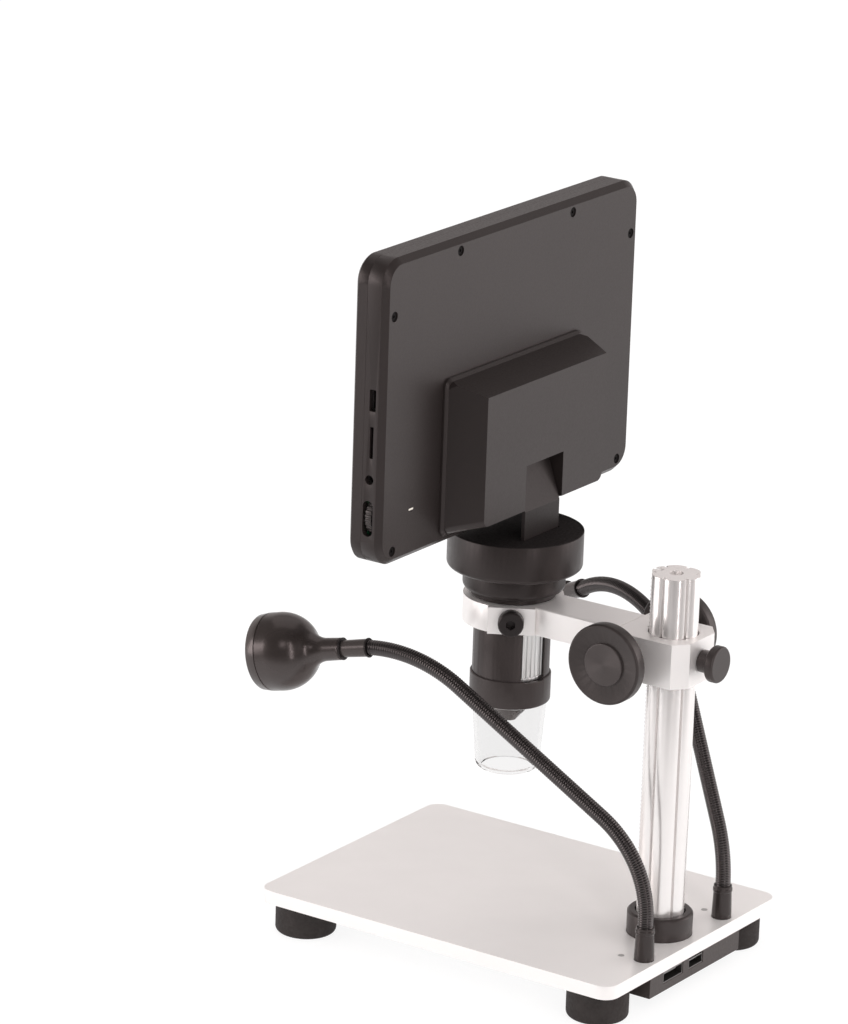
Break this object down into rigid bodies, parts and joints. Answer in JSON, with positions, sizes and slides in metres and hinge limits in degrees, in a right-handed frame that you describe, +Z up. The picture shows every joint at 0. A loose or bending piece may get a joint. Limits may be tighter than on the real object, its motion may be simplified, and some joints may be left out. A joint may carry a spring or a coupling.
{
  "type": "lcd digital microscope",
  "caption": "Desktop digital microscope: stage plate, rack column, focusing arm, camera tube with clear cap, swivel and tilt screen, and two gooseneck lamps.",
  "frame": {"origin": "point where the optical axis meets the stage plate's top face", "axes": "+X to the right as seen from the front of the screen, +Y from the optical axis to the column, +Z up along the optical axis"},
  "size_m": [0.1838, 0.1775, 0.2821],
  "materials": {
    "plate_aluminium": "satin, fine blasted",
    "column_aluminium": "satin, drawn profile",
    "arm_aluminium": "satin, blasted",
    "wheel_aluminium": "ribbed, bright",
    "steel": "plated",
    "brass": "turned",
    "black_metal": "anodised, satin",
    "hose_black": "ribbed, satin",
    "case_black": "fine texture",
    "lamp_black": "satin",
    "inner_black": "matte",
    "rubber": "matte",
    "circuit": "solder mask",
    "clear_plastic": "clear",
    "display_glass": "gloss",
    "key_black": "satin",
    "led_white": "gloss",
    "cell_wrap": "shrink film"
  },
  "bodies": {
    "stand": {"base_plate": "plate_aluminium", "rubber_feet": "rubber", "foot_screws": "steel", "supply_case": "case_black", "supply_board": "circuit", "supply_sockets": "steel", "supply_screws": "steel", "column": "column_aluminium", "column_bolt": "steel", "column_flange": "black_metal", "gear_rack": "steel", "gooseneck_sockets": "black_metal"},
    "arm": {"arm_bracket": "arm_aluminium", "shaft_bushes": "brass"},
    "pinion": {"pinion_shaft": "steel", "knob_right": "black_metal", "knob_left": "black_metal"},
    "lock_screw": {"lock_screw": "black_metal"},
    "clamp_screw": {"clamp_screw": "black_metal"},
    "camera_tube": {"tube_housing": "case_black", "lens_guide": "inner_black", "head_base": "case_black", "sensor_board": "circuit", "led_board": "led_white", "lens_cone": "steel"},
    "focus_wheel": {"focus_wheel": "wheel_aluminium"},
    "lens_carriage": {"lens_carriage": "inner_black", "objective_lens": "clear_plastic"},
    "clear_cap": {"clear_cap": "clear_plastic"},
    "swivel": {"swivel_disc": "case_black", "swivel_cap": "case_black", "hinge_bracket": "black_metal", "bracket_screws": "steel", "swivel_retainer": "steel"},
    "screen": {"rear_housing": "case_black", "front_bezel": "case_black", "lcd_panel": "display_glass", "main_board": "circuit", "battery": "cell_wrap", "hinge_pin": "steel", "housing_screws": "black_metal", "power_port": "steel", "card_slot": "steel", "remote_jack": "inner_black"},
    "dimmer_wheel": {"dimmer_wheel": "key_black"},
    "key_1": {"key_1": "key_black"},
    "key_2": {"key_2": "key_black"},
    "key_3": {"key_3": "key_black"},
    "key_4": {"key_4": "key_black"},
    "key_5": {"key_5": "key_black"},
    "right_hose_lower": {"right_hose_lower": "hose_black"},
    "right_hose_upper": {"right_hose_upper": "hose_black"},
    "right_lamp": {"right_lamp_shell": "lamp_black", "right_lamp_lens": "clear_plastic", "right_lamp_led": "led_white"},
    "left_hose_lower": {"left_hose_lower": "hose_black"},
    "left_hose_upper": {"left_hose_upper": "hose_black"},
    "left_lamp": {"left_lamp_shell": "lamp_black", "left_lamp_lens": "clear_plastic", "left_lamp_led": "led_white"}
  },
  "joints": [
    {"name": "arm_slide", "type": "slide", "parent": "stand", "child": "arm", "axis": [0, 0, 1], "range_m": [-0.025, 0.015]},
    {"name": "pinion_spin", "type": "hinge", "parent": "arm", "child": "pinion", "pos_m": [0, 0.0584, 0.1107], "axis": [1, 0, 0], "range_deg": [-290, 480]},
    {"name": "lock_turn", "type": "hinge", "parent": "arm", "child": "lock_screw", "pos_m": [0, 0.0713, 0.1108], "axis": [0, 1, 0], "range_deg": [-360, 0]},
    {"name": "clamp_turn", "type": "hinge", "parent": "arm", "child": "clamp_screw", "pos_m": [0, 0, 0.1141], "axis": [0.8526, 0.5225, 0], "range_deg": [-360, 0]},
    {"name": "tube_slide", "type": "slide", "parent": "arm", "child": "camera_tube", "axis": [0, 0, 1], "range_m": [0, 0.018]},
    {"name": "focus_turn", "type": "hinge", "parent": "camera_tube", "child": "focus_wheel", "pos_m": [0, 0, 0.097], "axis": [0, 0, 1], "range_deg": [-120, 120]},
    {"name": "lens_slide", "type": "slide", "parent": "camera_tube", "child": "lens_carriage", "axis": [0, 0, 1], "range_m": [-0.00301, 0.00301]},
    {"name": "cap_pull", "type": "slide", "parent": "camera_tube", "child": "clear_cap", "axis": [0, 0, 1], "range_m": [-0.014, 0]},
    {"name": "screen_swivel", "type": "hinge", "parent": "camera_tube", "child": "swivel", "pos_m": [0, 0, 0.1302], "axis": [0, 0, 1], "range_deg": [-135, 135]},
    {"name": "screen_tilt", "type": "hinge", "parent": "swivel", "child": "screen", "pos_m": [0, 0.0035, 0.176], "axis": [1, 0, 0], "range_deg": [-40, 5]},
    {"name": "dimmer_turn", "type": "hinge", "parent": "screen", "child": "dimmer_wheel", "pos_m": [0.0763, -0.0097, 0.167], "axis": [0, 1, 0], "range_deg": [-150, 150]},
    {"name": "key_1_press", "type": "slide", "parent": "screen", "child": "key_1", "axis": [0, 1, 0], "range_m": [0, 0.0006], "stiffness_N_per_m": 400, "springref_m": -0.0003},
    {"name": "key_2_press", "type": "slide", "parent": "screen", "child": "key_2", "axis": [0, 1, 0], "range_m": [0, 0.0006], "stiffness_N_per_m": 400, "springref_m": -0.0003},
    {"name": "key_3_press", "type": "slide", "parent": "screen", "child": "key_3", "axis": [0, 1, 0], "range_m": [0, 0.0006], "stiffness_N_per_m": 400, "springref_m": -0.0003},
    {"name": "key_4_press", "type": "slide", "parent": "screen", "child": "key_4", "axis": [0, 1, 0], "range_m": [0, 0.0006], "stiffness_N_per_m": 400, "springref_m": -0.0003},
    {"name": "key_5_press", "type": "slide", "parent": "screen", "child": "key_5", "axis": [0, 1, 0], "range_m": [0, 0.0006], "stiffness_N_per_m": 400, "springref_m": -0.0003},
    {"name": "right_hose_swing", "type": "hinge", "parent": "stand", "child": "right_hose_lower", "pos_m": [0.0275, 0.0819, 0.013], "axis": [0, 0, -1], "range_deg": [-50, 8]},
    {"name": "right_hose_bend", "type": "hinge", "parent": "right_hose_lower", "child": "right_hose_upper", "pos_m": [0.03351, 0.03154, 0.07222], "axis": [-0.993, -0.1184, 0], "range_deg": [-15, 20]},
    {"name": "right_lamp_tilt", "type": "hinge", "parent": "right_hose_upper", "child": "right_lamp", "pos_m": [0.04151, -0.03558, 0.10036], "axis": [-0.993, -0.1184, 0], "range_deg": [-28, 20]},
    {"name": "left_hose_swing", "type": "hinge", "parent": "stand", "child": "left_hose_lower", "pos_m": [-0.0275, 0.0819, 0.013], "axis": [0, 0, 1], "range_deg": [-35, 8]},
    {"name": "left_hose_bend", "type": "hinge", "parent": "left_hose_lower", "child": "left_hose_upper", "pos_m": [-0.03438, 0.06623, 0.05849], "axis": [-0.9157, 0.4019, 0], "range_deg": [-15, 20]},
    {"name": "left_lamp_tilt", "type": "hinge", "parent": "left_hose_upper", "child": "left_lamp", "pos_m": [-0.0687, -0.01196, 0.10091], "axis": [-0.9157, 0.4019, 0], "range_deg": [-28, 20]}
  ],
  "couplings": [
    {"joint": "pinion_spin", "follows": "arm_slide", "rad_per_m": -333.33},
    {"joint": "lens_slide", "follows": "focus_turn", "m_per_rad": 0.0014324}
  ]
}
